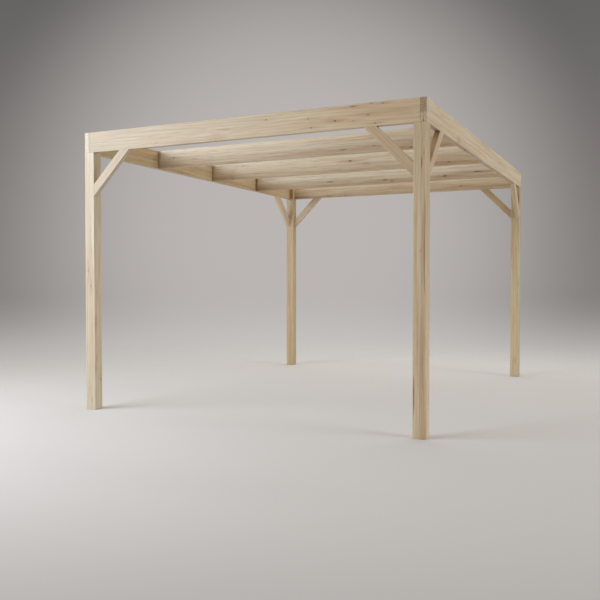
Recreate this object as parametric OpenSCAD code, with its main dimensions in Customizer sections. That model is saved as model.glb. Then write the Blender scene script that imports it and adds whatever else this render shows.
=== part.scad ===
// Open, flat-topped timber pergola: four notched corner posts, a ring of beams,
// rafters let in between the side beams, and two knee braces at each post.
// X runs along the front, Y from the front to the back and Z up.
// The origin is the middle of the footprint, at the feet of the posts.

/* [Frame] */
// Overall width, along the front
frame_width = 3000; // [2000:10:4000]
// Overall depth, from the front to the back
frame_depth = 4000; // [2400:10:5000]
// Clear height under the beams
clear_height = 2200; // [1900:10:2600]

/* [Posts] */
// Side of the square posts
post_side = 95; // [90:1:150]

/* [Beams and rafters] */
// Thickness of the beams and rafters
beam_thick = 45; // [30:1:60]
// Depth of the beams and rafters
beam_depth = 170; // [100:1:250]

/* [Knee braces] */
// Distance from the corner under the beam to the outer edge of a brace
brace_leg = 370; // [250:5:600]
// Width of a brace's broad face
brace_width = 70; // [45:1:120]
// Thickness of a brace
brace_thick = 45; // [25:1:60]

/* [Hidden] */

// Height to the tops of the beams, rafters and post tongues
frame_height = clear_height + beam_depth;
// Length of the beams and rafters that fit between the side beams
span = frame_width - 2 * beam_thick;
// Spaces between the front and back beams that the three rafters make
bay_count = 4;
// Distance from one rafter to the next, face to face
rafter_pitch = (frame_depth - beam_thick) / bay_count;
// Length of a brace's mitred end along the post or the beam
brace_cut = brace_width * sqrt(2);
// How far a cutting shape runs past the face that it cuts
overcut = 1;

post_color = "#d8c6aa";
beam_color = "#d9cbb0";
rafter_color = "#c9b48f";
brace_color = "#cdb999";

// Moves a piece that is modelled at the front left corner to any corner
module at_corner(right = false, back = false) {
    mirror([right ? 1 : 0, 0, 0])
        mirror([0, back ? 1 : 0, 0])
            translate([-frame_width / 2, -frame_depth / 2, 0])
                children();
}

// Post with a seat for a beam cut in each outer face, which leaves a tongue inside the corner
module notched_post() {
    color(post_color)
        difference() {
            cube([post_side, post_side, frame_height]);
            translate([-overcut, -overcut, clear_height])
                cube([beam_thick + overcut, post_side + 2 * overcut, beam_depth + overcut]);
            translate([-overcut, -overcut, clear_height])
                cube([post_side + 2 * overcut, beam_thick + overcut, beam_depth + overcut]);
        }
}

// Beam along the side, seated on the posts and flush with their outer faces
module side_beam() {
    color(beam_color)
        translate([0, 0, clear_height])
            cube([beam_thick, frame_depth, beam_depth]);
}

// Timber from side beam to side beam, with its front face a number of bays from the front
module cross_timber(bays, timber_color) {
    color(timber_color)
        translate([-span / 2, -frame_depth / 2 + bays * rafter_pitch, clear_height])
            cube([span, beam_thick, beam_depth]);
}

// Brace under a front or back beam, cut upright against the post and level under the beam
module cross_brace() {
    color(brace_color)
        translate([post_side, brace_thick, clear_height])
            rotate([90, 0, 0])
                linear_extrude(brace_thick)
                    polygon([
                        [0, -brace_leg],
                        [brace_leg, 0],
                        [brace_leg - brace_cut, 0],
                        [0, brace_cut - brace_leg]
                    ]);
}

// The same brace turned to lie under a side beam
module side_brace() {
    mirror([1, -1, 0])
        cross_brace();
}

module front_left_post() at_corner() notched_post();
module front_right_post() at_corner(right = true) notched_post();
module back_left_post() at_corner(back = true) notched_post();
module back_right_post() at_corner(right = true, back = true) notched_post();

module left_beam() at_corner() side_beam();
module right_beam() at_corner(right = true) side_beam();
module front_beam() cross_timber(0, beam_color);
module back_beam() cross_timber(bay_count, beam_color);

module front_rafter() cross_timber(1, rafter_color);
module middle_rafter() cross_timber(2, rafter_color);
module back_rafter() cross_timber(3, rafter_color);

module front_brace_left() at_corner() cross_brace();
module front_brace_right() at_corner(right = true) cross_brace();
module back_brace_left() at_corner(back = true) cross_brace();
module back_brace_right() at_corner(right = true, back = true) cross_brace();
module left_brace_front() at_corner() side_brace();
module left_brace_back() at_corner(back = true) side_brace();
module right_brace_front() at_corner(right = true) side_brace();
module right_brace_back() at_corner(right = true, back = true) side_brace();

front_left_post();
front_right_post();
back_left_post();
back_right_post();
left_beam();
right_beam();
front_beam();
back_beam();
front_rafter();
middle_rafter();
back_rafter();
front_brace_left();
front_brace_right();
back_brace_left();
back_brace_right();
left_brace_front();
left_brace_back();
right_brace_front();
right_brace_back();
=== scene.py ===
import math
import random
from functools import partial

import bmesh
import bpy
from mathutils import Matrix, Vector


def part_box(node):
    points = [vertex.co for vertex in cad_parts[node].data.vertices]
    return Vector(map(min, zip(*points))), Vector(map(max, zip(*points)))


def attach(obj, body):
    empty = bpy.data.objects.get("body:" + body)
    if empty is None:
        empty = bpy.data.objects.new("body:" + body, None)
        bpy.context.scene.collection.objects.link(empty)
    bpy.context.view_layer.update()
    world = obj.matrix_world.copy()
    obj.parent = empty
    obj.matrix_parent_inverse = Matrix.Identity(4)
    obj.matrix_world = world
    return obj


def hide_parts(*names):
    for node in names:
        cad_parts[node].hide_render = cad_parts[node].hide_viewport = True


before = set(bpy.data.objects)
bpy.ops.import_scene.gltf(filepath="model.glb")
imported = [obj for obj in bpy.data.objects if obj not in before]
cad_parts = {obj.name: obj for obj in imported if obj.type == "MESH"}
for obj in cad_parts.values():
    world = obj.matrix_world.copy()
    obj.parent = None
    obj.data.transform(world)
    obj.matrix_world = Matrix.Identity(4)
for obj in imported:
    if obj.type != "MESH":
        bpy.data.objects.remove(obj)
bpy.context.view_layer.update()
scene = bpy.context.scene
scene.view_settings.view_transform = "Standard"
mm = 0.001
print("frame loaded:", len(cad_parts), "timbers")


# sRGB hex to linear colour
def linear(hexColour):
    channels = [int(hexColour[i:i + 2], 16) / 255 for i in (1, 3, 5)]
    straight = [c / 12.92 if c <= 0.04045 else ((c + 0.055) / 1.055) ** 2.4 for c in channels]
    return (*straight, 1.0)


# adds one node, sets it up and links it; a node given as a value stands for its first live output
def addNode(tree, kind, values=None, **settings):
    node = tree.nodes.new(kind)
    for key, setting in settings.items():
        setattr(node, key, setting)
    for key, value in (values or {}).items():
        if isinstance(value, bpy.types.Node):
            value = next(s for s in value.outputs if s.enabled)
        if isinstance(value, bpy.types.NodeSocket):
            tree.links.new(value, node.inputs[key])
        else:
            node.inputs[key].default_value = value
    return node


# camera: a low view past the front right post
view = {
    "place": (2.935, -7.083, 1.088),   # metres from the middle of the footprint
    "turn": 25.25,                     # degrees to the left of straight on
    "dip": 1.29,                       # degrees below level
    "lens": 45.27,                     # mm
    "sensor": 36,                      # mm
}
camera = bpy.data.objects.new("camera", bpy.data.cameras.new("camera"))
camera.data.sensor_width = view["sensor"]
camera.data.lens = view["lens"]
camera.location = view["place"]
camera.rotation_euler = (math.radians(90 - view["dip"]), 0, math.radians(view["turn"]))
scene.collection.objects.link(camera)
scene.camera = camera
print("camera placed")


# planed pine, run through a four-side planer and left bare: pale cream sapwood between thin
# tan bands of late wood, long soft streaks, small brown knots with a reddish flame along the grain
pine = {
    "sapwood": "#d6c8ac",
    "lateWood": "#b28f64",
    "rosyWood": "#bd9873",
    "heartWood": "#a98058",
    "knotFlame": "#a87b52",
    "fleckWood": "#9c7650",
    "knotHeart": "#8a6040",
    "knotRim": "#5b3d27",
    # colour of the painted shade at the joints of the left ends and on the posts' tongues
    "paintedShade": "#80501f",
    "wornArris": "#ddd0b8",
    "endGrain": "#93795c",
    # each pattern: mm along and across the grain from one mark to the next, noise detail, how far a
    # timber's seed moves it, and the noise levels where it starts to show and where it is full
    "patterns": {
        "bends": {"over": (900.0, 170.0), "detail": 2.0, "move": (3.7, 1.3, 0)},
        "rosy": {"over": (900.0, 30.0), "detail": 3.0, "move": (2.1, 4.9, 0), "shows": (0.4, 0.72)},
        "streaks": {"over": (520.0, 11.0), "detail": 3.0, "move": (5.3, 0, 0), "shows": (0.3, 0.7)},
        "flecks": {"over": (140.0, 8.0), "detail": 2.0, "move": (7.9, 0, 0), "shows": (0.54, 0.74)},
        "fibres": {"over": (110.0, 1.8), "detail": 3.0, "move": (0, 0, 0)},  # drawn coarser, to show close up
    },
    "sway": 9.0,                     # mm that the log's heart wanders
    "ringSpacing": 6.5,              # mm; pine grows 2 to 4 mm a year, drawn coarser so that it shows
    "ringMove": 11.3,                # rings that a timber's seed moves the pattern by
    "ringUneven": 3.2,               # rings that good and bad years add or take away
    "ringUnevenOver": 38.0,          # mm
    "lateRises": (0.3, 0.88),        # shares of a year's growth over which late wood darkens
    "lateStops": (0.9, 1.0),         # and over which the next early wood takes its place
    "lateFaint": 0.06,               # depth of the palest year rings
    "streakShare": 0.16,
    "fibreShare": 0.2,
    "flameShare": 1.1,
    "flameLength": 0.2,              # the flame's stretch, as a share of its knot's
    "flameLeast": 0.05,              # the least stretch of a flame, so that it ends near its knot
    "knotEdges": {                   # shares of a knot's radius over which each part of it fades
        "core": (0.65, 1.1),
        "flame": (0.4, 2.8),
    },
    "knotHeartFrom": 0.6,            # how full a knot's mask is where its dark rim gives way to its heart
    "knotRagged": 0.45,              # how far a knot's outline strays, as a share of its radius
    "knotRaggedOver": 14.0,          # mm
    "knotRoot": 60.0,                # mm below the face where a listed knot starts
    "ringBulge": 8.0,                # mm that the rings swell round a knot
    "arrisShare": 0.35,
    "planerPitch": 4.0,              # mm between knife marks
    "sawPitch": 3.0,                 # mm between saw marks on the ends
    "endFacing": (0.6, 0.68),        # cosine to the grain over which a face counts as an end, mitres too
    "endMottle": 13.0,               # mm between the darker spots on the ends
    "mottleShows": (0.3, 0.6),       # noise levels between which the mottle deepens
    "mottleLeast": 0.55,             # share of the dark that is left where it is palest
    "endPale": 0.4,                  # share of the dark that is left away from the log's heart
    "jointShadeReach": 520.0,             # mm from a left end that the painted shade shows, along the lower edge
    "jointShadeLean": 2.3,                # mm that it reaches less far, for each mm above that edge
    "jointShadeFalls": 2.2,               # how steeply it fades
    "jointShadeSeam": (10.0, 50.0),       # mm from the end, between which the painted dark edge at the joint fades
    "jointShadeOnPale": 0.75,             # share of the painted shade that the palest streaks take
    "tongueSeat": (2185.0, 2215.0),  # mm above the foot, between which the painted shade on a post's tongue starts
    "relief": 0.5 * mm,
    "reliefStrength": 0.5,
    "knifeRelief": 0.08,             # heights of these marks, as shares of the fibres'
    "sawRelief": 0.3,
    "lateRelief": 0.6,
    "ior": 1.52,
    "roughness": 0.5,
    "lateSmoother": 0.08,
    "endRougher": 0.25,
}


def pineMaterial(name, rotation, start, timber):
    material = bpy.data.materials.new(name)
    material.use_nodes = True
    tree = material.node_tree
    tree.nodes.clear()
    add = partial(addNode, tree)
    patterns = pine["patterns"]
    seed = timber["seed"]
    pith = Vector((0, *timber["pith"]))

    # noise drawn out along the grain, in its own place on each timber
    def drawnOut(source, pattern):
        long, wide = pattern["over"]
        space = add("ShaderNodeVectorMath", {
            0: source, 1: (1 / long, 1 / wide, 1 / wide), 2: tuple(seed * step for step in pattern["move"])},
            operation="MULTIPLY_ADD")
        return add("ShaderNodeTexNoise", {"Vector": space, "Scale": 1.0, "Detail": pattern["detail"]})

    # millimetres along the timber, then across it from the log's heart
    place = add("ShaderNodeTexCoord")
    grain = add("ShaderNodeMapping", {
        "Vector": place.outputs["Object"],
        "Location": -(rotation @ Vector(start)) / mm - pith,
        "Rotation": rotation.to_euler("XYZ"),
        "Scale": (1 / mm, 1 / mm, 1 / mm),
    })
    parts = add("ShaderNodeSeparateXYZ", {0: grain})
    along = parts.outputs["X"]
    alongShare = add("ShaderNodeMath", {0: along, 1: timber["length"]}, operation="DIVIDE", use_clamp=True)

    # the heart wanders, so that the bands run in long curves
    waver = drawnOut(grain, patterns["bends"])
    sway = pine["sway"]
    shift = add("ShaderNodeVectorMath", {
        0: waver.outputs["Color"], 1: (0, 2 * sway, 2 * sway), 2: (0, -sway, -sway)},
        operation="MULTIPLY_ADD")
    wavered = add("ShaderNodeVectorMath", {0: grain, 1: shift}, operation="ADD")
    across = add("ShaderNodeVectorMath", {0: wavered, 1: (0, 1, 1)}, operation="MULTIPLY")
    radius = add("ShaderNodeVectorMath", {0: across}, operation="LENGTH").outputs["Value"]
    tapered = add("ShaderNodeMath", {0: along, 1: timber["taper"], 2: radius}, operation="MULTIPLY_ADD")

    # a branch is a cone that widens outwards from inside the timber, so that its knot runs through it;
    # its outline is ragged
    ragged = add("ShaderNodeTexNoise", {"Vector": grain, "Scale": 1 / pine["knotRaggedOver"], "Detail": 1.0})
    noiseMiddle = (0.5, 0.5, 0.5)
    strayed = add("ShaderNodeVectorMath", {0: ragged.outputs["Color"], 1: noiseMiddle}, operation="SUBTRACT")
    masks = dict.fromkeys(pine["knotEdges"])
    for knot in timber["knots"]:
        root = Vector((knot["along"], *knot["root"])) - pith
        face = Vector((knot["along"], *knot["across"])) - pith - root
        direction = face.normalized()
        stray = 2 * pine["knotRagged"] * knot["radius"]
        fromKnot = add("ShaderNodeVectorMath", {0: grain, 1: root}, operation="SUBTRACT")
        away = add("ShaderNodeVectorMath", {
            0: strayed, 1: (stray, stray, stray), 2: fromKnot}, operation="MULTIPLY_ADD")
        aside = add("ShaderNodeVectorMath", {0: away, 1: direction}, operation="CROSS_PRODUCT")
        reach = add("ShaderNodeVectorMath", {
            0: away, 1: direction * knot["radius"] / face.length}, operation="DOT_PRODUCT")
        size = add("ShaderNodeMath", {0: reach.outputs["Value"]}, operation="ABSOLUTE")
        for part, (inner, outer) in pine["knotEdges"].items():
            stretch = knot["stretch"]
            if part == "flame":
                stretch = max(stretch * pine["flameLength"], pine["flameLeast"])
            drawn = add("ShaderNodeVectorMath", {0: aside, 1: (1, stretch, stretch)}, operation="MULTIPLY")
            distance = add("ShaderNodeVectorMath", {0: drawn}, operation="LENGTH").outputs["Value"]
            share = add("ShaderNodeMath", {0: distance, 1: size}, operation="DIVIDE")
            mask = add("ShaderNodeMapRange", {
                "Value": share, "From Min": inner, "From Max": outer, "To Min": knot["depth"], "To Max": 0.0},
                interpolation_type="SMOOTHSTEP")
            if masks[part] is not None:
                mask = add("ShaderNodeMath", {0: masks[part], 1: mask}, operation="MAXIMUM")
            masks[part] = mask

    # year rings swell round the knots; each has its own width and depth of colour
    swollen = add("ShaderNodeMath", {
        0: masks["flame"], 1: pine["ringBulge"], 2: tapered}, operation="MULTIPLY_ADD")
    uneven = add("ShaderNodeTexNoise", {
        "W": swollen, "Scale": 1 / pine["ringUnevenOver"], "Detail": 1.0}, noise_dimensions="1D")
    count = add("ShaderNodeMath", {
        0: swollen, 1: 1 / pine["ringSpacing"], 2: seed * pine["ringMove"]}, operation="MULTIPLY_ADD")
    phase = add("ShaderNodeMath", {
        0: uneven.outputs[0], 1: pine["ringUneven"], 2: count}, operation="MULTIPLY_ADD")
    within = add("ShaderNodeMath", {0: phase}, operation="FRACT")
    year = add("ShaderNodeMath", {0: phase}, operation="FLOOR")
    yearTone = add("ShaderNodeTexWhiteNoise", {"W": year}, noise_dimensions="1D")
    riseFrom, riseTo = pine["lateRises"]
    rise = add("ShaderNodeMapRange", {
        "Value": within, "From Min": riseFrom, "From Max": riseTo}, interpolation_type="SMOOTHSTEP")
    stopFrom, stopTo = pine["lateStops"]
    stop = add("ShaderNodeMapRange", {
        "Value": within, "From Min": stopFrom, "From Max": stopTo, "To Min": 1.0, "To Max": 0.0},
        interpolation_type="SMOOTHSTEP")
    band = add("ShaderNodeMath", {0: rise, 1: stop}, operation="MULTIPLY")
    depth = add("ShaderNodeMapRange", {
        "Value": yearTone.outputs["Value"], "To Min": pine["lateFaint"], "To Max": timber["lateDeep"]})
    late = add("ShaderNodeMath", {0: band, 1: depth}, operation="MULTIPLY")
    sapwood = add("ShaderNodeMix", {
        0: alongShare, 6: linear(timber["tone"]), 7: linear(timber["farTone"])}, data_type="RGBA")
    wood = add("ShaderNodeMix", {0: late, 6: sapwood, 7: linear(pine["lateWood"])}, data_type="RGBA")

    # brown heart, rosy patches, long streaks, short flecks and fibres
    heart = add("ShaderNodeMapRange", {
        "Value": tapered, "From Min": timber["heart"] / 2, "From Max": timber["heart"],
        "To Min": timber["heartShare"], "To Max": 0.0}, interpolation_type="SMOOTHSTEP")
    wood = add("ShaderNodeMix", {0: heart, 6: wood, 7: linear(timber["heartColour"])}, data_type="RGBA")
    rosyStart, rosyEnd = timber["rosy"]
    rosyMost = add("ShaderNodeMapRange", {"Value": alongShare, "To Min": rosyStart, "To Max": rosyEnd})
    rosyFrom, rosyFull = patterns["rosy"]["shows"]
    rosy = add("ShaderNodeMapRange", {
        "Value": drawnOut(wavered, patterns["rosy"]).outputs[0],
        "From Min": rosyFrom, "From Max": rosyFull, "To Max": rosyMost}, interpolation_type="SMOOTHSTEP")
    wood = add("ShaderNodeMix", {0: rosy, 6: wood, 7: linear(pine["rosyWood"])}, data_type="RGBA")
    streakFrom, streakFull = patterns["streaks"]["shows"]
    streaks = add("ShaderNodeMapRange", {
        "Value": drawnOut(wavered, patterns["streaks"]).outputs[0],
        "From Min": streakFrom, "From Max": streakFull})
    wood = add("ShaderNodeMix", {
        0: pine["streakShare"], 6: wood, 7: streaks}, data_type="RGBA", blend_type="OVERLAY")
    fleckFrom, fleckFull = patterns["flecks"]["shows"]
    flecks = add("ShaderNodeMapRange", {
        "Value": drawnOut(wavered, patterns["flecks"]).outputs[0],
        "From Min": fleckFrom, "From Max": fleckFull, "To Max": timber["flecks"]})
    wood = add("ShaderNodeMix", {0: flecks, 6: wood, 7: linear(pine["fleckWood"])}, data_type="RGBA")
    fibres = drawnOut(wavered, patterns["fibres"])
    wood = add("ShaderNodeMix", {
        0: pine["fibreShare"], 6: wood, 7: fibres.outputs[0]}, data_type="RGBA", blend_type="OVERLAY")

    # knots: a reddish flame that follows the streaks, a brown heart and a dark rim
    flame = add("ShaderNodeMath", {0: masks["flame"], 1: streaks}, operation="MULTIPLY")
    flame = add("ShaderNodeMath", {0: flame, 1: pine["flameShare"]}, operation="MULTIPLY", use_clamp=True)
    wood = add("ShaderNodeMix", {0: flame, 6: wood, 7: linear(pine["knotFlame"])}, data_type="RGBA")
    middle = add("ShaderNodeMapRange", {
        "Value": masks["core"], "From Min": pine["knotHeartFrom"], "From Max": 1.0})
    knotWood = add("ShaderNodeMix", {
        0: middle, 6: linear(pine["knotRim"]), 7: linear(pine["knotHeart"])}, data_type="RGBA")
    wood = add("ShaderNodeMix", {0: masks["core"], 6: wood, 7: knotWood}, data_type="RGBA")

    # sawn ends drink light: darker, mottled and rougher than the planed faces
    normal = add("ShaderNodeNewGeometry").outputs["True Normal"]
    facing = add("ShaderNodeVectorMath", {0: normal, 1: Vector(rotation[0])}, operation="DOT_PRODUCT")
    squareOn = add("ShaderNodeMath", {0: facing.outputs["Value"]}, operation="ABSOLUTE")
    endFrom, endFull = pine["endFacing"]
    end = add("ShaderNodeMapRange", {"Value": squareOn, "From Min": endFrom, "From Max": endFull})
    mottle = add("ShaderNodeTexNoise", {"Vector": grain, "Scale": 1 / pine["endMottle"], "Detail": 3.0})
    mottleFrom, mottleFull = pine["mottleShows"]
    mottled = add("ShaderNodeMapRange", {
        "Value": mottle.outputs[0], "From Min": mottleFrom, "From Max": mottleFull,
        "To Min": pine["mottleLeast"], "To Max": 1.0})
    heartNear, heartFar = timber["endHeart"]
    heartwood = add("ShaderNodeMapRange", {
        "Value": radius, "From Min": heartNear, "From Max": heartFar,
        "To Min": timber["endTone"], "To Max": pine["endPale"] * timber["endTone"]})
    endTone = add("ShaderNodeMath", {0: mottled, 1: heartwood}, operation="MULTIPLY")
    endWood = add("ShaderNodeMix", {0: endTone, 6: wood, 7: linear(timber["endColour"])}, data_type="RGBA")
    wood = add("ShaderNodeMix", {0: end, 6: wood, 7: endWood}, data_type="RGBA")

    # painted shade at the left ends, where the beams and rafters butt against the side beam: dark at the
    # joint, fading in a wedge that reaches furthest along the lower edge, deepest along the darker streaks
    if timber["jointShade"]:
        lean = pine["jointShadeLean"]
        risen = add("ShaderNodeMath", {0: parts.outputs["Z"], 1: lean, 2: along}, operation="MULTIPLY_ADD")
        foot = -lean * (timber["depth"] / 2 + timber["pith"][1])
        jointShading = add("ShaderNodeMapRange", {
            "Value": risen, "From Min": foot, "From Max": foot + pine["jointShadeReach"],
            "To Min": 1.0, "To Max": 0.0})
        jointShading = add("ShaderNodeMath", {0: jointShading, 1: pine["jointShadeFalls"]}, operation="POWER")
        seamNear, seamFar = pine["jointShadeSeam"]
        seam = add("ShaderNodeMapRange", {
            "Value": along, "From Min": seamNear, "From Max": seamFar, "To Min": 1.0, "To Max": 0.0})
        jointShading = add("ShaderNodeMath", {0: jointShading, 1: seam}, operation="MAXIMUM")
        shadeDepth = add("ShaderNodeMapRange", {
            "Value": streaks, "To Min": timber["jointShade"], "To Max": pine["jointShadeOnPale"] * timber["jointShade"]})
        jointShading = add("ShaderNodeMath", {0: jointShading, 1: shadeDepth}, operation="MULTIPLY")
        wood = add("ShaderNodeMix", {0: jointShading, 6: wood, 7: linear(pine["paintedShade"])}, data_type="RGBA")

    # painted shade on the front of a post's tongue, where it shows between the beams
    if timber["tongueShade"]:
        ahead = add("ShaderNodeVectorMath", {0: normal, 1: faces["front"]}, operation="DOT_PRODUCT")
        seatLow, seatHigh = pine["tongueSeat"]
        tongue = add("ShaderNodeMapRange", {
            "Value": along, "From Min": seatLow, "From Max": seatHigh, "To Max": timber["tongueShade"]})
        tongue = add("ShaderNodeMath", {
            0: tongue, 1: ahead.outputs["Value"]}, operation="MULTIPLY", use_clamp=True)
        wood = add("ShaderNodeMix", {0: tongue, 6: wood, 7: linear(pine["paintedShade"])}, data_type="RGBA")

    # the planed arrises are rubbed a little paler
    arris = add("ShaderNodeAttribute", attribute_name="arris")
    rubbed = add("ShaderNodeMath", {0: arris.outputs["Fac"], 1: pine["arrisShare"]}, operation="MULTIPLY")
    wood = add("ShaderNodeMix", {0: rubbed, 6: wood, 7: linear(pine["wornArris"])}, data_type="RGBA")

    # late wood and fibres stand up a little; planer knives leave faint waves and saws leave lines
    knives = add("ShaderNodeMath", {0: along, 1: math.tau / pine["planerPitch"]}, operation="MULTIPLY")
    ripple = add("ShaderNodeMath", {0: knives}, operation="SINE")
    teeth = add("ShaderNodeMath", {
        0: parts.outputs["Y"], 1: math.tau / pine["sawPitch"]}, operation="MULTIPLY")
    sawn = add("ShaderNodeMath", {0: teeth}, operation="SINE")
    lines = add("ShaderNodeMath", {0: sawn, 1: end}, operation="MULTIPLY")
    relief = fibres.outputs[0]
    for marks, share in ((ripple, "knifeRelief"), (lines, "sawRelief"), (late, "lateRelief")):
        relief = add("ShaderNodeMath", {0: marks, 1: pine[share], 2: relief}, operation="MULTIPLY_ADD")
    bump = add("ShaderNodeBump", {
        "Strength": pine["reliefStrength"], "Distance": pine["relief"], "Height": relief})
    dull = add("ShaderNodeMath", {
        0: late, 1: -pine["lateSmoother"], 2: pine["roughness"]}, operation="MULTIPLY_ADD")
    rough = add("ShaderNodeMath", {0: end, 1: pine["endRougher"], 2: dull}, operation="MULTIPLY_ADD")
    shader = add("ShaderNodeBsdfPrincipled", {
        "Base Color": wood, "Roughness": rough, "IOR": pine["ior"], "Normal": bump})
    add("ShaderNodeOutputMaterial", {"Surface": shader})
    return material


# every timber is one planed section swept along its length, with eased arrises and drying checks
timberCut = {
    "arris": 2.5 * mm,        # radius of the eased long edges
    "arrisSteps": 3,
    "arrisMargin": 1.01,      # allowance when the eased points are picked out
    "besideArris": 3 * mm,    # flat strip beside an arris, where its wear ends
    "endEase": 2.2 * mm,      # the sawn ends are eased too
    "checkStep": 20 * mm,     # distance between the stations along a drying check
    "checkWidth": 3.0 * mm,
    "checkDepth": 9 * mm,
    "checkBlunt": 0.6,        # below 1, a check stays open nearer to its ends
    "checkDrift": 1.5 * mm,   # how far a check wanders from its line
    "checkDriftOver": 0.7,    # metres
}
faces = {
    "right": (1, 0, 0),
    "left": (-1, 0, 0),
    "back": (0, 1, 0),
    "front": (0, -1, 0),
    "top": (0, 0, 1),
}


# points round the section, anticlockwise: (place, outward, sideways, check, part of the check)
def sectionRing(size, checks):
    ease = timberCut["arris"]
    ring = []
    for side in range(4):
        turn = side * math.pi / 2
        outward = Vector((round(math.cos(turn)), round(math.sin(turn))))
        sideways = Vector((-outward.y, outward.x))
        reach = size[side % 2] / 2
        half = size[(side + 1) % 2] / 2 - ease
        inner = half - timberCut["besideArris"]
        offsets = [(-half, None, 0), (-inner, None, 0)]
        for check in sorted((c for c in checks if c["side"] == side), key=lambda c: c["offset"]):
            for part in (-1, 0, 1):
                offsets.append((check["offset"] + part * timberCut["checkWidth"] / 2, check, part))
        offsets += [(inner, None, 0), (half, None, 0)]
        for offset, check, part in offsets:
            ring.append((outward * reach + sideways * offset, outward, sideways, check, part))
        centre = outward * (reach - ease) + sideways * half
        for step in range(1, timberCut["arrisSteps"]):
            angle = step / timberCut["arrisSteps"] * math.pi / 2
            lean = outward * math.cos(angle) + sideways * math.sin(angle)
            ring.append((centre + lean * ease, lean, sideways, None, 0))
    return ring


# how open a check is at a distance along the timber, from 0 to 1
def checkOpen(check, along):
    share = (along - check["from"]) / (check["to"] - check["from"])
    return math.sin(math.pi * share) ** timberCut["checkBlunt"] if 0 < share < 1 else 0.0


def sweepTimber(name, rotation, start, length, size, slant, checks):
    ring = sectionRing(size, checks)
    ease = timberCut["endEase"]
    stations = {0.0, ease, length - ease, length}
    for check in checks:
        span = check["to"] - check["from"]
        count = math.ceil(span / timberCut["checkStep"])
        # to a hundredth of a millimetre, so that stations of two checks can fall together
        stations |= {round(check["from"] + span * i / count, 5) for i in range(count + 1)}
    toWorld = rotation.transposed()
    mesh = bmesh.new()
    rows = []
    for along in sorted(stations):
        inset = ease if along in (0.0, length) else 0.0
        lean = slant * (1 - 2 * along / length)
        row = []
        for point, outward, sideways, check, part in ring:
            at = Vector((point.x * (1 - 2 * inset / size[0]), point.y * (1 - 2 * inset / size[1])))
            if check is not None:
                drift = math.sin(along / timberCut["checkDriftOver"] * math.tau)
                at += sideways * drift * timberCut["checkDrift"]
                if part == 0:
                    at -= outward * timberCut["checkDepth"] * checkOpen(check, along)
            row.append(mesh.verts.new(Vector(start) + toWorld @ Vector((along + lean * at.x, *at))))
        rows.append(row)
    around = len(ring)
    for lower, upper in zip(rows, rows[1:]):
        for i in range(around):
            j = (i + 1) % around
            face = mesh.faces.new((lower[i], lower[j], upper[j], upper[i]))
            face.smooth = ring[i][1] != ring[j][1] or ring[i][1].x * ring[i][1].y != 0
    mesh.faces.new(list(reversed(rows[0])))
    mesh.faces.new(rows[-1])
    mesh.normal_update()
    data = bpy.data.meshes.new(name)
    mesh.to_mesh(data)
    mesh.free()
    piece = bpy.data.objects.new(name, data)
    scene.collection.objects.link(piece)
    return piece


# cuts a box out of a piece, as a saw cuts a notch; a split is a box that closes towards its top
def sawOut(piece, low, high, closes=1.0):
    block = bmesh.new()
    bmesh.ops.create_cube(block, size=1.0)
    middle = (low[0] + high[0]) / 2
    for vert in block.verts:
        upper = vert.co.z > 0
        vert.co = Vector(low[i] if vert.co[i] < 0 else high[i] for i in range(3))
        if upper:
            vert.co.x = middle + (vert.co.x - middle) * closes
    data = bpy.data.meshes.new("saw")
    block.to_mesh(data)
    block.free()
    saw = bpy.data.objects.new("saw", data)
    scene.collection.objects.link(saw)
    cut = piece.modifiers.new("notch", "BOOLEAN")
    cut.object = saw
    cut.operation = "DIFFERENCE"
    cut.solver = "EXACT"
    shaped = bpy.data.meshes.new_from_object(piece.evaluated_get(bpy.context.evaluated_depsgraph_get()))
    piece.modifiers.clear()
    old = piece.data
    piece.data = shaped
    bpy.data.meshes.remove(old)
    shaped.name = piece.name
    bpy.data.objects.remove(saw)
    bpy.data.meshes.remove(data)


# marks the eased edges, for their wear in the material
def markArrises(piece, rotation, start, size):
    nearness = timberCut["arris"] * timberCut["arrisMargin"]
    values = []
    for vert in piece.data.vertices:
        local = rotation @ (vert.co - Vector(start))
        gaps = [size[i] / 2 - abs(local[i + 1]) for i in (0, 1)]
        values.append(1.0 if max(gaps) < nearness else 0.0)
    piece.data.attributes.new("arris", "FLOAT", "POINT").data.foreach_set("value", values)


# a listed knot: face, mm along, mm across the face, radius, depth of colour, stretch
def knotOn(rotation, size, faceName, along, offset, radius, depth, stretch):
    outward = rotation @ Vector(faces[faceName])
    axis = 0 if abs(outward.y) > abs(outward.z) else 1
    across = [offset, offset]
    across[axis] = math.copysign(size[axis] / 2 / mm, outward[axis + 1])
    root = list(across)
    root[axis] -= math.copysign(pine["knotRoot"], outward[axis + 1])
    return {
        "along": along, "across": across, "root": root,
        "radius": radius, "depth": depth, "stretch": stretch}


# knots strewn over the faces that have none listed; each range is drawn from evenly
strewn = {
    "first": (0.3, 0.9),      # shares of the usual distance, to the first knot
    "offset": (-0.4, 0.4),    # shares of the timber's thickness, from the middle of the face
    "radius": (0.4, 1.0),     # shares of the largest radius
    "depth": (0.25, 0.8),
    "stretch": (0.25, 0.7),
    "next": (0.6, 1.5),       # shares of the usual distance, to the next knot
}


def scatterKnots(rotation, size, length, timber):
    draw = random.Random(timber["seed"])
    knots = []
    along = draw.uniform(*strewn["first"]) * timber["knotEvery"]
    while along < length / mm:
        faceName = draw.choice(timber["knotFaces"])
        offset = draw.uniform(*strewn["offset"]) * min(size) / mm
        radius = timber["knotLargest"] * draw.uniform(*strewn["radius"])
        depth = draw.uniform(*strewn["depth"])
        stretch = draw.uniform(*strewn["stretch"])
        knots.append(knotOn(rotation, size, faceName, along, offset, radius, depth, stretch))
        along += timber["knotEvery"] * draw.uniform(*strewn["next"])
    return knots


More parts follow.
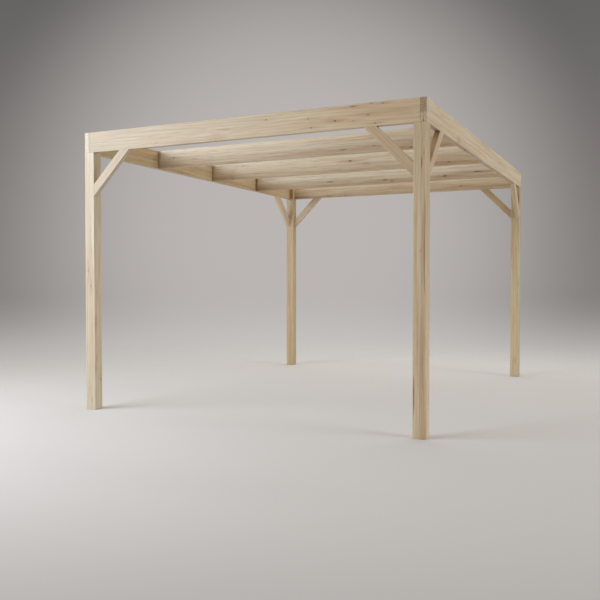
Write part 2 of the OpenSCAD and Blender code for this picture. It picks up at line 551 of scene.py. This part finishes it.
# what a timber has unless its own row says otherwise
usualTimber = {
    "tone": pine["sapwood"],
    "rosy": (0.45, 0.45),     # share of rosy wood at the start and at the far end
    "flecks": 0.28,
    "heart": 8,               # mm from the pith where the heart's colour ends
    "heartShare": 0.6,
    "heartColour": pine["heartWood"],
    "taper": 0.007,           # how fast the rings run out along the log
    "lateDeep": 0.5,          # depth of the deepest year rings
    "endTone": 0.7,
    "endColour": pine["endGrain"],
    "endHeart": (62.0, 92.0),  # mm from the pith, between which the ends turn from dark to pale
    "jointShade": 0.0,
    "tongueShade": 0.0,
    "checks": (),
    "knots": (),
}


# sweeps, notches and marks a timber, gives it its wood and hands it over
def makeTimber(node, rotation, start, length, size, ownTimber, slant=0.0, notches=()):
    timber = {**usualTimber, **ownTimber}
    timber.setdefault("farTone", timber["tone"])
    sides = [Vector((0, 1, 0)), Vector((0, 0, 1)), Vector((0, -1, 0)), Vector((0, 0, -1))]
    checks = []
    for faceName, offset, low, high in timber["checks"]:
        outward = rotation @ Vector(faces[faceName])
        side = max(range(4), key=lambda i: sides[i].dot(outward))
        checks.append({"side": side, "offset": offset * mm, "from": low * mm, "to": high * mm})
    piece = sweepTimber(node + "_timber", rotation, start, length, size, slant, checks)
    for notch in notches:
        sawOut(piece, *notch)
    markArrises(piece, rotation, start, size)
    knots = [knotOn(rotation, size, *knot) for knot in timber["knots"]]
    knots += scatterKnots(rotation, size, length, timber)
    wood = {**timber, "knots": knots, "length": length / mm, "depth": size[1] / mm}
    piece.data.materials.clear()
    piece.data.materials.append(pineMaterial("planed_pine_" + node, rotation, start, wood))
    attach(piece, "root")
    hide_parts(node)


# rows are the timber's own axes: along it, across it, across it again
upright = Matrix(((0, 0, 1), (1, 0, 0), (0, 1, 0)))
frontToBack = Matrix(((0, 1, 0), (0, 0, 1), (1, 0, 0)))
sideToSide = Matrix(((1, 0, 0), (0, 1, 0), (0, 0, 1)))

# posts: square, notched at the top for the two beams
# pith: mm from the middle of the timber to the log's heart
posts = {
    "front_left_post": {
        "seed": 3, "pith": (38, 22), "heart": 45, "heartShare": 0.22, "heartColour": "#e0c890",
        "taper": 0.002, "tone": "#d0c6b0", "rosy": (0.3, 0.2), "flecks": 0.2,
        "checks": [("left", 8, 350, 1500)],
        "knots": [("front", 1063, 10, 5, 0.7, 0.6), ("front", 1200, -19, 4, 0.6, 0.15),
                  ("front", 1367, 15, 5, 0.3, 0.6), ("front", 83, 14, 5, 0.5, 0.6),
                  ("right", 737, -30, 5, 0.8, 0.5), ("right", 359, -34, 4, 0.8, 0.5),
                  ("right", 257, 30, 5, 0.9, 0.5)]},
    "front_right_post": {
        "seed": 5, "pith": (26, -40), "heart": 38, "heartShare": 0.4, "taper": 0.014,
        "tone": "#ddcfb1", "farTone": "#c2b090",
        "checks": [("back", -10, 500, 1900), ("front", 36, 1010, 1710)],
        "knots": [("front", 300, -38, 3, 1.0, 0.018), ("front", 1923, 13, 5, 0.6, 0.1),
                  ("front", 1309, 9, 5, 0.4, 0.5)]},
    "back_left_post": {
        "seed": 8, "pith": (-18, 12), "tone": "#c6b28f", "tongueShade": 0.6,
        "checks": [("back", 5, 200, 1300)]},
    "back_right_post": {
        "seed": 13, "pith": (5, 28), "tone": "#d1c19f", "checks": [("left", -12, 600, 1800)],
        "knots": [("front", 2070, 40, 5, 1.0, 0.08), ("right", 1010, 20, 4, 0.4, 0.5)]},
}
# strewn knots: mm from one to the next, the largest radius in mm, and the faces that have them
postGrowth = {"knotEvery": 420, "knotLargest": 7, "knotFaces": ("back", "left")}
past = 10 * mm   # how far a cutter runs beyond the timber
beamLow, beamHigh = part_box("left_beam")
beamThick = beamHigh.x - beamLow.x
for node, timber in posts.items():
    low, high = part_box(node)
    start = ((low.x + high.x) / 2, (low.y + high.y) / 2, low.z)
    outerX = max(low.x, high.x, key=abs)
    outerY = max(low.y, high.y, key=abs)
    edgesX = sorted((outerX + math.copysign(past, outerX), outerX - math.copysign(beamThick, outerX)))
    edgesY = sorted((outerY + math.copysign(past, outerY), outerY - math.copysign(beamThick, outerY)))
    notches = [
        ((edgesX[0], low.y - past, beamLow.z), (edgesX[1], high.y + past, high.z + past)),
        ((low.x - past, edgesY[0], beamLow.z), (high.x + past, edgesY[1], high.z + past)),
    ]
    makeTimber(node, upright, start, high.z - low.z, (high.x - low.x, high.y - low.y),
               {**postGrowth, **timber}, notches=notches)
print("posts made")

# side beams: whole length, on edge on the shoulders of the posts
# a split: mm from the beam's left face to its two sides, mm up to its tip
sideBeams = {
    "left_beam": {
        # its browner tone and strong rosy patches are painted shade, for the warm shade on its inner face
        "seed": 22, "pith": (-60, 40), "rosy": (0.8, 0.8), "tone": "#bfab85", "farTone": "#cdb993",
        # its ends are painted pale cream: a painted highlight where the key lamp lights the front end
        "endTone": 0.9, "endColour": "#e6dfd0", "endHeart": (200, 300),
        "knots": [("right", 1399, -73, 6, 0.7, 0.4), ("right", 705, -42, 5, 0.5, 0.4),
                  ("right", 925, -4, 7, 0.5, 0.25), ("right", 1560, 14, 7, 0.4, 0.25)]},
    "right_beam": {
        # its pith lies below the underside, so that the heart's brown paints shade along the underside
        "seed": 34, "pith": (-110, 0), "heart": 44, "taper": 0.0, "lateDeep": 0.3,
        "tone": "#d9ccb2", "farTone": "#e3d6b9", "flecks": 0.2,
        "endTone": 1.0, "endColour": "#9c8064", "endHeart": (99, 83), "splits": [(18.5, 22.5, 80)]},
}
beamGrowth = {
    "knotEvery": 450, "knotLargest": 7, "knotFaces": ("left", "top"),
    "splits": (), "splitDepth": 20 * mm, "splitCloses": 0.2}
for node, own in sideBeams.items():
    timber = {**beamGrowth, **own}
    low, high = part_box(node)
    start = ((low.x + high.x) / 2, low.y, (low.z + high.z) / 2)
    splits = []
    for left, right, tip in timber["splits"]:
        splits.append(((left * mm + low.x, low.y - past, low.z - past),
                       (right * mm + low.x, low.y + timber["splitDepth"], low.z + tip * mm),
                       timber["splitCloses"]))
    makeTimber(node, frontToBack, start, high.y - low.y, (high.z - low.z, high.x - low.x),
               timber, notches=splits)
print("side beams made")

# beams and rafters from side to side
crossTimbers = {
    "front_beam": {
        "seed": 55, "pith": (45, -12), "heart": 52, "heartShare": 0.22, "heartColour": pine["heartWood"],
        # its tone grows paler and rosier towards its right end: painted light and shade that make up for the
        # key lamp falling off along the beam
        "taper": -0.012, "lateDeep": 0.36, "tone": "#bcb09a", "farTone": "#cfbb99", "rosy": (0.1, 0.35),
        "flecks": 0.18, "jointShade": 0.08,
        "knots": [("front", 894, 11, 5, 0.25, 0.5), ("front", 638, -4, 5, 0.2, 0.4),
                  ("front", 751, -18, 5, 0.2, 0.4), ("front", 701, -56, 6, 0.2, 0.3),
                  ("front", 1339, -2, 6, 0.25, 0.08), ("front", 1708, 38, 6, 0.5, 0.6),
                  ("front", 2058, 13, 5, 0.5, 0.5), ("front", 2273, -22, 8, 0.9, 0.7),
                  ("front", 2413, 70, 5, 0.6, 0.15), ("front", 2550, 79, 4, 0.5, 0.2),
                  ("front", 2639, 71, 5, 0.6, 0.6), ("front", 2527, -2, 8, 0.35, 0.5),
                  ("front", 2082, -55, 5, 0.6, 0.4), ("front", 2413, -34, 5, 0.4, 0.5),
                  ("front", 2580, -64, 5, 0.6, 0.5)]},
    "front_rafter": {
        "seed": 89, "pith": (30, -80), "heart": 115, "heartShare": 0.2, "rosy": (0.0, 0.6), "flecks": 0.4,
        "tone": "#e2d6be", "farTone": "#d2c5aa", "jointShade": 0.68,
        "knots": [("front", 186, 6, 6, 0.6, 0.6), ("front", 1935, -48, 8, 0.45, 0.2),
                  ("front", 2219, -36, 5, 0.6, 0.3), ("front", 2544, -70, 6, 0.7, 0.4)]},
    "middle_rafter": {
        "seed": 144, "pith": (35, -75), "heart": 110, "heartShare": 0.26, "rosy": (0.0, 0.6), "flecks": 0.4,
        "tone": "#dccfb4", "jointShade": 0.68,
        "knots": [("front", 1613, 23, 8, 0.8, 0.4), ("front", 1780, -8, 9, 0.35, 0.2),
                  ("front", 2430, 14, 7, 0.5, 0.3), ("front", 2614, -55, 7, 0.5, 0.3),
                  ("front", 386, 54, 6, 0.5, 0.6)]},
    "back_rafter": {
        "seed": 233, "pith": (30, -85), "heart": 110, "heartShare": 0.3, "rosy": (0.3, 0.5), "flecks": 0.3,
        "tone": "#e0d4bb", "jointShade": 1.1,
        "knots": [("front", 1643, -46, 8, 0.6, 0.3), ("front", 1725, -62, 7, 0.6, 0.3),
                  ("front", 977, -31, 8, 0.5, 0.15), ("front", 2322, -43, 8, 0.8, 0.3),
                  ("front", 2670, -16, 7, 0.8, 0.15)]},
    "back_beam": {
        "seed": 377, "pith": (40, -60), "heart": 150, "heartShare": 0.25, "rosy": (0.4, 0.6), "flecks": 0.3,
        "tone": "#e2d5b9", "jointShade": 1.15,
        "knots": [("front", 2263, -33, 7, 0.6, 0.4), ("front", 529, -67, 6, 0.6, 0.5)]},
}
crossGrowth = {
    "knotEvery": 450, "knotLargest": 7, "knotFaces": ("back", "top"),
    "heartColour": "#b8833f"}   # amber, as in the rafters
for node, timber in crossTimbers.items():
    low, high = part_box(node)
    start = (low.x, (low.y + high.y) / 2, (low.z + high.z) / 2)
    makeTimber(node, sideToSide, start, high.x - low.x, (high.y - low.y, high.z - low.z),
               {**crossGrowth, **timber})
print("front and back beams and rafters made")

# knee braces: mitred at both ends, flush with the outer faces; 1 leans right or back, -1 left or front
brace = {
    "width": 70 * mm,
    "knotEvery": 420,
    "knotLargest": 5,
    "knotFaces": ("left", "right"),
    "firstSeed": 610,
    "pith": (45, 30),
    "pithStep": 17,           # mm that the pith moves from one brace to the next
    "pithPlaces": 3,          # places of the pith, used in turn
}
braces = {
    "front_brace_left": {"way": 1, "tone": "#bfb49f", "flecks": 0.15},
    "front_brace_right": {
        # its pith lies beyond its upper face, so that the heart's brown paints shade on that face
        "way": -1, "tone": "#c0aa8a", "rosy": (0.7, 0.5), "flecks": 0.1, "pith": (44, 0), "heart": 24},
    "back_brace_left": {"way": 1, "tone": "#ccbca0"},
    "back_brace_right": {"way": -1, "tone": "#ccb594"},
    "left_brace_front": {"way": 1},
    "left_brace_back": {"way": -1},
    # its pith lies beyond its upper inner face, so that the heart's brown paints shade on that face
    "right_brace_front": {"way": 1, "pith": (52, 0), "heart": 50, "heartShare": 0.7, "taper": 0.0},
    "right_brace_back": {"way": -1},
}
for number, (node, own) in enumerate(braces.items()):
    low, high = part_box(node)
    leg = high.z - low.z
    alongX = high.x - low.x > high.y - low.y
    out = Vector((own["way"], 0, 0)) if alongX else Vector((0, own["way"], 0))
    thick = high.y - low.y if alongX else high.x - low.x
    axis = (Vector((0, 0, 1)) + out).normalized()
    inward = (Vector((0, 0, 1)) - out).normalized()
    rotation = Matrix((axis, inward, axis.cross(inward)))
    cut = brace["width"] * math.sqrt(2)
    atPost = (low + high) / 2 - out * leg / 2
    start = (atPost.x, atPost.y, low.z + cut / 2)
    pithX, pithY = brace["pith"]
    pith = (pithX - brace["pithStep"] * (number % brace["pithPlaces"]), pithY)
    timber = {**brace, "seed": brace["firstSeed"] + number, "pith": pith, **own}
    makeTimber(node, rotation, start, math.sqrt(2) * (leg - cut / 2), (brace["width"], thick),
               timber, slant=1.0)
print("braces made")


# matt studio floor, opaque round the object and fading into the backdrop far away
studio = {
    "floor": "#e7e6e6",
    "floorReach": 60.0,           # metres
    "floorSides": 96,
    "floorMiddle": (0.3, -0.7),   # metres
    "floorFadesFrom": 3.2,        # metres from there to where the fading starts and ends
    "floorGoneAt": 9.0,
    "wallLight": "#bab5b2",
    "wallHigh": "#616060",        # away from its lightest part, high up and at the horizon
    "wallLow": "#837f7c",
    "wallTop": 0.37,              # sine of the angle to what counts as high up
    "wallAround": "#928e8b",      # the rest of the room
    "wallTurn": 25.95,            # degrees, where the wall is lightest
    "wallRise": 4.6,
    "wallLit": (0.914, 1.0),      # cosines to there, over which the wall lightens
    "wallFades": (0.865, 0.74),   # and over which it passes into the rest of the room
    "farFloor": "#d0cdca",        # the rest of the floor, where the wall has passed into it
    # painted shade: the floor below the horizon darkens towards the camera
    "nearFloor": "#a7a3a0",
    "wallEnds": (-0.008, -0.145),  # how far below the horizon the wall passes into the far floor
    "farEnds": (-0.135, -0.4),    # and the far floor into the near one
    "sky": "#fff3e2",
    "skyStrength": 0.275,
}
floorMesh = bmesh.new()
bmesh.ops.create_circle(
    floorMesh, cap_ends=True, segments=studio["floorSides"], radius=studio["floorReach"])
floorData = bpy.data.meshes.new("floor")
floorMesh.to_mesh(floorData)
floorMesh.free()
floor = bpy.data.objects.new("floor", floorData)
scene.collection.objects.link(floor)
floorMaterial = bpy.data.materials.new("studio_floor")
floorMaterial.use_nodes = True
tree = floorMaterial.node_tree
tree.nodes.clear()
add = partial(addNode, tree)
spot = add("ShaderNodeTexCoord")
far = add("ShaderNodeVectorMath", {
    0: spot.outputs["Object"], 1: (*studio["floorMiddle"], 0)}, operation="DISTANCE")
nearness = add("ShaderNodeMath", {0: 1.0, 1: far.outputs["Value"]}, operation="DIVIDE")
solid = add("ShaderNodeMapRange", {
    "Value": nearness, "From Min": 1 / studio["floorGoneAt"], "From Max": 1 / studio["floorFadesFrom"]},
    interpolation_type="SMOOTHSTEP")
matt = add("ShaderNodeBsdfDiffuse", {"Color": linear(studio["floor"])})
clear = add("ShaderNodeBsdfTransparent")
blend = add("ShaderNodeMixShader", {0: solid, 1: clear, 2: matt})
add("ShaderNodeOutputMaterial", {"Surface": blend})
floorData.materials.append(floorMaterial)

# backdrop: a grey wall with a painted pool of light behind the object, for the camera and for gloss only;
# below the horizon a painted floor, darker towards the camera; what lights the object, besides the lamps, is
# a plain sky
world = bpy.data.worlds.new("studio")
scene.world = world
world.use_nodes = True
tree = world.node_tree
tree.nodes.clear()
add = partial(addNode, tree)
turn = math.radians(studio["wallTurn"])
rise = math.radians(studio["wallRise"])
heading = (-math.sin(turn) * math.cos(rise), math.cos(turn) * math.cos(rise), math.sin(rise))
direction = add("ShaderNodeTexCoord").outputs["Generated"]
toward = add("ShaderNodeVectorMath", {0: direction, 1: heading}, operation="DOT_PRODUCT").outputs["Value"]
litFrom, litFull = studio["wallLit"]
lit = add("ShaderNodeMapRange", {
    "Value": toward, "From Min": litFrom, "From Max": litFull}, interpolation_type="SMOOTHSTEP")
fadeFrom, fadeFull = studio["wallFades"]
around = add("ShaderNodeMapRange", {
    "Value": toward, "From Min": fadeFrom, "From Max": fadeFull}, interpolation_type="SMOOTHSTEP")
level = add("ShaderNodeSeparateXYZ", {0: direction}).outputs["Z"]
raised = add("ShaderNodeMapRange", {"Value": level, "From Max": studio["wallTop"]})
dim = add("ShaderNodeMix", {
    0: raised, 6: linear(studio["wallLow"]), 7: linear(studio["wallHigh"])}, data_type="RGBA")
wall = add("ShaderNodeMix", {0: lit, 6: dim, 7: linear(studio["wallLight"])}, data_type="RGBA")
wall = add("ShaderNodeMix", {0: around, 6: wall, 7: linear(studio["wallAround"])}, data_type="RGBA")
for ends, colour in (("wallEnds", "farFloor"), ("farEnds", "nearFloor")):
    above, below = studio[ends]
    lower = add("ShaderNodeMapRange", {
        "Value": level, "From Min": above, "From Max": below}, interpolation_type="SMOOTHSTEP")
    wall = add("ShaderNodeMix", {0: lower, 6: wall, 7: linear(studio[colour])}, data_type="RGBA")
seen = add("ShaderNodeLightPath")
straight = add("ShaderNodeMath", {
    0: seen.outputs["Is Camera Ray"], 1: seen.outputs["Is Glossy Ray"]}, operation="MAXIMUM")
visible = add("ShaderNodeMath", {0: straight, 1: seen.outputs["Is Transmission Ray"]}, operation="MAXIMUM")
sky = add("ShaderNodeBackground", {"Color": linear(studio["sky"]), "Strength": studio["skyStrength"]})
backdrop = add("ShaderNodeBackground", {"Color": wall, "Strength": 1.0})
either = add("ShaderNodeMixShader", {0: visible, 1: sky, 2: backdrop})
add("ShaderNodeOutputWorld", {"Surface": either})

# soft boxes: a wide key at the front left, not far above the beams, a fill at the right, one overhead
# places, sizes and aims are in metres, powers in watts
lamps = {
    "key": {
        "place": (-3.9, -5.7, 3.05), "aim": (0, 0, 1.2),
        "size": (5.0, 1.6), "power": 270, "colour": "#f5f9ff"},
    "fill": {
        "place": (13.8, -2.4, 3.6), "aim": (0, 0, 1.2),
        "size": (6.0, 3.5), "power": 680, "colour": "#ffffff"},
    "overhead": {
        "place": (-0.4, 4.2, 6.5), "aim": (-0.4, 4.2, 0),
        "size": (8.0, 7.0), "power": 232, "colour": "#fffdfa"},
}
for name, lamp in lamps.items():
    light = bpy.data.lights.new(name, "AREA")
    light.shape = "RECTANGLE"
    light.size, light.size_y = lamp["size"]
    light.energy = lamp["power"]
    light.color = linear(lamp["colour"])[:3]
    softBox = bpy.data.objects.new(name, light)
    softBox.location = lamp["place"]
    softBox.visible_camera = False
    aim = Vector(lamp["aim"]) - Vector(lamp["place"])
    softBox.rotation_euler = aim.to_track_quat("-Z", "Y").to_euler()
    scene.collection.objects.link(softBox)
print("floor, backdrop and lamps set")
